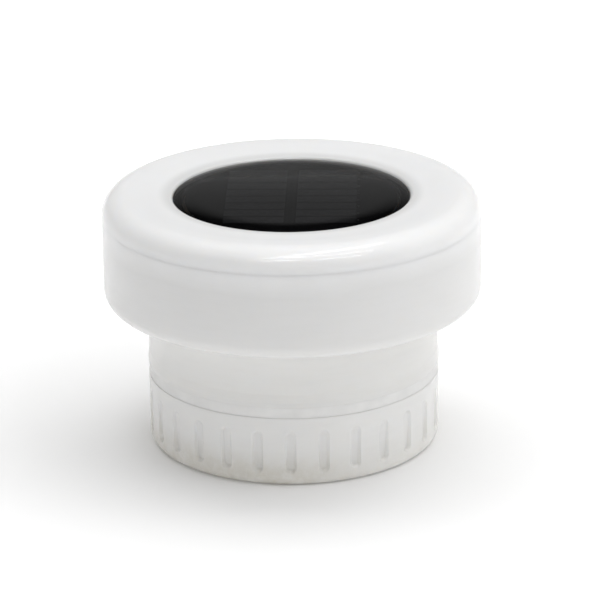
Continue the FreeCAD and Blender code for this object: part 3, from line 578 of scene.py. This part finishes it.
def finish_cad_nodes():
    seal = silicone("seal_rubber", (0.50, 0.50, 0.48))
    screw = turned_metal("screw_steel", (0.62, 0.62, 0.62), 0.28)
    white = speckled("tray_plastic", (0.74, 0.74, 0.72), 0.45, contrast=0.05)
    black = speckled("holder_plastic", (0.022, 0.022, 0.023), 0.5)
    red = speckled("lead_red", (0.50, 0.025, 0.02), 0.38)
    dark = speckled("lead_black", (0.018, 0.018, 0.018), 0.4)
    chip = speckled("chip_epoxy", (0.02, 0.02, 0.021), 0.55)
    nickel = turned_metal("contact_nickel", (0.70, 0.68, 0.63), 0.25)
    board = circuit_board()
    finishes = {
        "cover_seal": seal, "tray_gasket": seal, "button_seal": seal,
        "window_gasket": speckled("black_foam", (0.006, 0.006, 0.006), 0.7),
        "solar_board": speckled("panel_board", (0.005, 0.005, 0.006), 0.6),
        "solar_cells": silicon_cells(),
        "cell_solder_joints": turned_metal("solder", (0.85, 0.85, 0.83), 0.3),
        "cell_ribbons": speckled("coated_ribbon", (0.012, 0.012, 0.013), 0.6),
        "inner_tray": white, "button_retainer": white,
        "tray_screws": screw, "board_screws": screw, "ballast_screws": screw, "retainer_screws": screw,
        "lamp_board": board, "switch_board": board,
        "board_standoffs": turned_metal("standoff_brass", (0.72, 0.50, 0.20), 0.25),
        "lamp_leds": speckled("lamp_package", (0.85, 0.78, 0.42), 0.3, contrast=0.08),
        "controller_chip": chip, "chip_resistors": chip,
        "capacitors": turned_metal("capacitor_can", (0.42, 0.44, 0.50), 0.3),
        "charge_coil": speckled("ferrite", (0.07, 0.06, 0.06), 0.55),
        "light_sensor": speckled("sensor_resin", (0.75, 0.72, 0.68), 0.18, contrast=0.05),
        "panel_lead_positive": red, "battery_lead_positive": red,
        "panel_lead_negative": dark, "battery_lead_negative": dark,
        "battery_holder": black, "switch_housing": black,
        "battery_near": battery_sleeve(), "battery_far": battery_sleeve(),
        "contact_plates": nickel, "contact_springs": nickel,
        "switch_plunger": speckled("plunger_plastic", (0.02, 0.02, 0.02), 0.3),
        "ballast_ring": speckled("ballast_coating", (0.20, 0.205, 0.21), 0.42, metallic=0.6, contrast=0.25),
        "power_button": speckled("button_rubber", (0.10, 0.105, 0.11), 0.5),
    }
    for name, material in finishes.items():
        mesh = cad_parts[name].data
        mesh.materials.clear()
        mesh.materials.append(material)


# ---------- stage ----------

CAMERA_TURN = math.radians(1.7)
CAMERA_ELEVATION = math.radians(20.25)
CAMERA_ROLL = math.radians(0.81)
CAMERA_DISTANCE = 1.232
SENSOR = 36.0
PICTURE = 600
MM_PER_PIXEL = 0.3783
PICTURE_SHIFT = (6.95, 11.35)
FLOOR_REACH = 3.0
TENT_LEVEL = 0.42
TENT_LEFT_SHARE = 0.7


def sky(world):
    """White behind the object. For light and reflections a pale tent in front and at the sides, a little
    dimmer on the left, and at the back a ramp that is dim in the middle heights and bright overhead."""
    tree = world.node_tree
    white = (1.0, 1.0, 1.0, 1.0)
    shown = tree.nodes["Background"]
    shown.inputs["Color"].default_value = white
    shown.inputs["Strength"].default_value = 1.0
    place = add_node(tree, "ShaderNodeTexCoord").outputs["Generated"]
    direction = add_node(tree, "ShaderNodeSeparateXYZ", {"Vector": place}).outputs
    ramp = add_node(tree, "ShaderNodeValToRGB", {"Fac": direction["Z"]})
    stops = (
        (0.0, 0.6), (0.1, 0.42), (0.22, 0.29), (0.34, 0.18),
        (0.46, 0.008), (0.78, 0.01), (0.9, 0.8), (1.0, 1.0),
    )
    elements = ramp.color_ramp.elements
    while len(elements) < len(stops):
        elements.new(0.5)
    for element, (position, level) in zip(elements, stops):
        element.position = position
        element.color = (level, level, level, 1.0)
    ranges = {"Value": direction["Y"], "From Min": -0.05, "From Max": 0.5}
    ranges |= {"To Min": TENT_LEVEL, "To Max": 0.0}
    tent = add_node(tree, "ShaderNodeMapRange", ranges, interpolation_type="SMOOTHSTEP").outputs["Result"]
    ranges = {"Value": direction["X"], "From Min": -1.0, "From Max": 0.2}
    ranges |= {"To Min": TENT_LEFT_SHARE, "To Max": 1.0}
    sideways = add_node(tree, "ShaderNodeMapRange", ranges).outputs["Result"]
    tent = add_node(tree, "ShaderNodeMath", {0: tent, 1: sideways}, operation="MULTIPLY").outputs[0]
    levels = {0: tent, 1: ramp.outputs["Color"]}
    level = add_node(tree, "ShaderNodeMath", levels, operation="MAXIMUM").outputs[0]
    lighting = add_node(tree, "ShaderNodeBackground", {"Color": white, "Strength": level})
    rays = add_node(tree, "ShaderNodeLightPath").outputs["Is Camera Ray"]
    mix = add_node(tree, "ShaderNodeMixShader", {0: rays, 1: lighting.outputs[0], 2: shown.outputs[0]})
    tree.links.new(mix.outputs[0], tree.nodes["World Output"].inputs["Surface"])


# name, place, width and height in metres, watts
SOFT_LIGHTS = (
    ("key_above_right", (0.60, -0.15, 0.80), (0.7, 0.7), 2.15),
    ("fill_front", (-0.10, -1.30, 0.60), (1.2, 0.7), 0.12),
    ("overhead", (0.0, 0.50, 1.50), (2.0, 1.0), 15.0),
)
# Tubes that only show as thin highlights on the rolled edge of the head.
STRIPS = (
    ("strip_high", (0.175, -0.12, 1.04), (0.95, 0.06), 2.6),
    ("strip_mid", (0.175, -0.44, 0.95), (0.95, 0.06), 2.6),
    ("strip_low", (0.175, -0.68, 0.79), (0.95, 0.06), 2.6),
)


def area_light(name, place, target, size, power):
    light = bpy.data.lights.new(name, "AREA")
    light.shape = "RECTANGLE"
    light.size, light.size_y = size
    light.energy = power
    lamp = bpy.data.objects.new(name, light)
    bpy.context.scene.collection.objects.link(lamp)
    lamp.location = place
    lamp.rotation_euler = (Vector(target) - Vector(place)).to_track_quat("-Z", "Y").to_euler()
    return lamp


def make_stage():
    world = bpy.data.worlds.new("studio")
    bpy.context.scene.world = world
    world.use_nodes = True
    sky(world)

    floor_mesh = bpy.data.meshes.new("floor")
    corners = ((-1, -1), (1, -1), (1, 1), (-1, 1))
    floor_mesh.from_pydata([(x * FLOOR_REACH, y * FLOOR_REACH, 0) for x, y in corners], [], [(0, 1, 2, 3)])
    floor = bpy.data.objects.new("floor", floor_mesh)
    bpy.context.scene.collection.objects.link(floor)
    m = Nodes("floor_paper")
    cloud = m.remap(m.noise(3.0), 0.3, 0.7, 0.0, 1.0)
    m.link(m.mix(cloud, (0.93, 0.93, 0.93), (0.96, 0.96, 0.96)), "Base Color")
    # Painted light: the floor glows, faintly next to the object and more further out.
    m.link(m.remap(m.radius(), 0.05, 0.36, 0.06, 0.33, "SMOOTHSTEP"), "Emission Strength")
    m.set(Roughness=0.9, Specular_IOR_Level=0.1)
    m.shader.inputs["Emission Color"].default_value = (1.0, 1.0, 1.0, 1.0)
    floor_mesh.materials.append(m.material)

    middle = (0.0, 0.0, HEAD_TOP / 2)
    for name, place, size, power in SOFT_LIGHTS:
        area_light(name, place, middle, size, power).visible_glossy = False
    for name, place, size, power in STRIPS:
        area_light(name, place, middle, size, power).visible_diffuse = False


def make_camera():
    data = bpy.data.cameras.new("camera")
    camera = bpy.data.objects.new("camera", data)
    bpy.context.scene.collection.objects.link(camera)
    data.sensor_width = SENSOR
    data.lens = SENSOR * CAMERA_DISTANCE / (PICTURE * MM_PER_PIXEL * MM)
    data.shift_x = PICTURE_SHIFT[0] / PICTURE
    data.shift_y = PICTURE_SHIFT[1] / PICTURE
    target = Vector((0, 0, HEAD_TOP / 2))
    heading = CAMERA_TURN - math.pi / 2
    level = math.cos(CAMERA_ELEVATION)
    away = Vector((math.cos(heading) * level, math.sin(heading) * level, math.sin(CAMERA_ELEVATION)))
    facing = (-away).to_track_quat("-Z", "Y").to_matrix().to_4x4()
    rolled = facing @ Matrix.Rotation(-CAMERA_ROLL, 4, "Z")
    camera.matrix_world = Matrix.Translation(target + away * CAMERA_DISTANCE) @ rolled
    bpy.context.scene.camera = camera


make_camera()
make_stage()
# The float's tone ramp is painted shade and light: darker side wall and neck, brighter top.
float_white = milky_plastic(
    "float_white",
    ((0.0, (0.89, 0.88, 0.855)), (0.48, (0.895, 0.887, 0.865)), (0.57, (0.835, 0.83, 0.82)),
     (0.80, (0.80, 0.797, 0.79)), (0.90, (0.92, 0.918, 0.915)), (0.95, (0.955, 0.955, 0.953))),
    (0.0, 0.1), 0.34, shade_radii=(0.0450, 0.0512))
# The cap's tone ramp darkens towards the bottom as painted shade.
cap_white = milky_plastic(
    "cap_white",
    ((0.0, (0.90, 0.885, 0.85)), (0.20, (0.92, 0.908, 0.88)),
     (0.42, (0.93, 0.92, 0.90)), (1.0, (0.93, 0.92, 0.90))),
    (0.0, 0.04), 0.40, low_left_shade=1.0)
make_float(float_white)
make_screw_cap(cap_white)
make_seal(silicone("seal_band", (0.93, 0.925, 0.91)))
make_window(tinted_lens())
finish_cad_nodes()

bpy.context.scene.view_settings.view_transform = "Standard"
